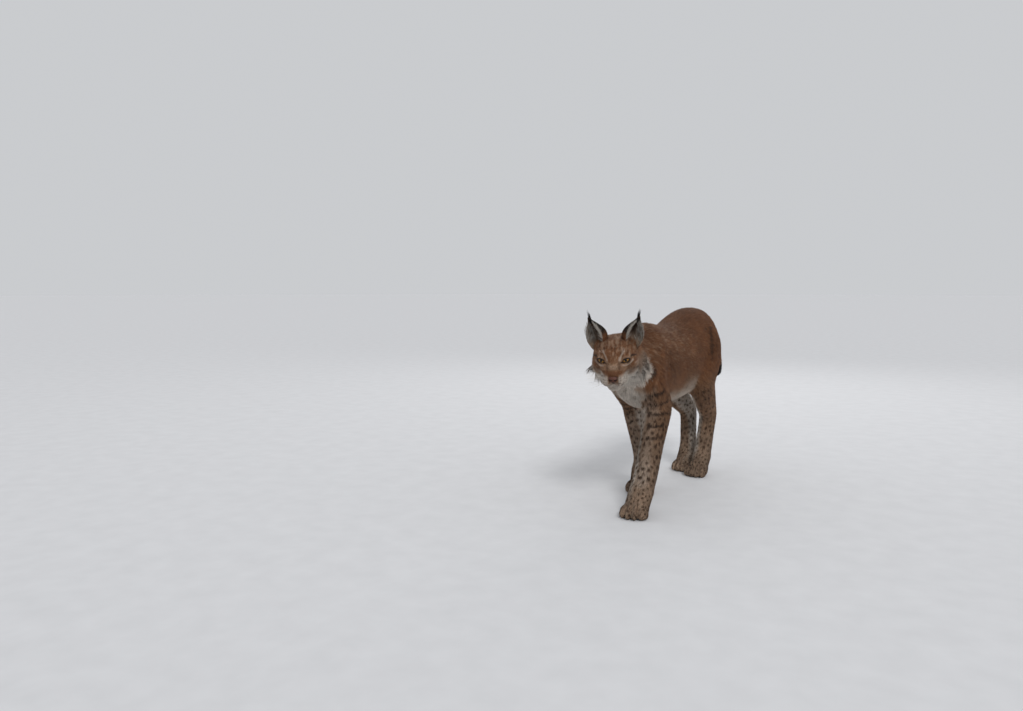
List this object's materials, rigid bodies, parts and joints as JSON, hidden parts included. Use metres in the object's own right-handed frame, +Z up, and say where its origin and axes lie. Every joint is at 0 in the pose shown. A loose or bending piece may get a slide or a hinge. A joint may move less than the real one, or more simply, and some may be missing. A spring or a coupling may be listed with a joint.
{
  "type": "eurasian lynx",
  "caption": "Standing wild cat at a slow walk, with tufted ears, a cheek ruff, long legs with broad paws and a short hanging tail.",
  "frame": {"origin": "on the floor, under the centre of the animal's bounding box", "axes": "-Y is the way the body faces, +X is the animal's left side, +Z is up"},
  "size_m": [0.2306, 0.9486, 0.6086],
  "materials": {
    "coat": "soft fur",
    "nose": "satin skin",
    "eye": "wet"
  },
  "bodies": {
    "root": {"head": "coat", "nose": "nose", "ear_left": "coat", "ear_right": "coat", "eye_left": "eye", "eye_right": "eye", "neck": "coat", "torso": "coat", "tail": "coat", "foreleg_left": "coat", "foreleg_right": "coat", "hindleg_left": "coat", "hindleg_right": "coat", "forepaw_left": "coat", "forepaw_right": "coat", "hindpaw_left": "coat", "hindpaw_right": "coat"}
  },
  "joints": []
}
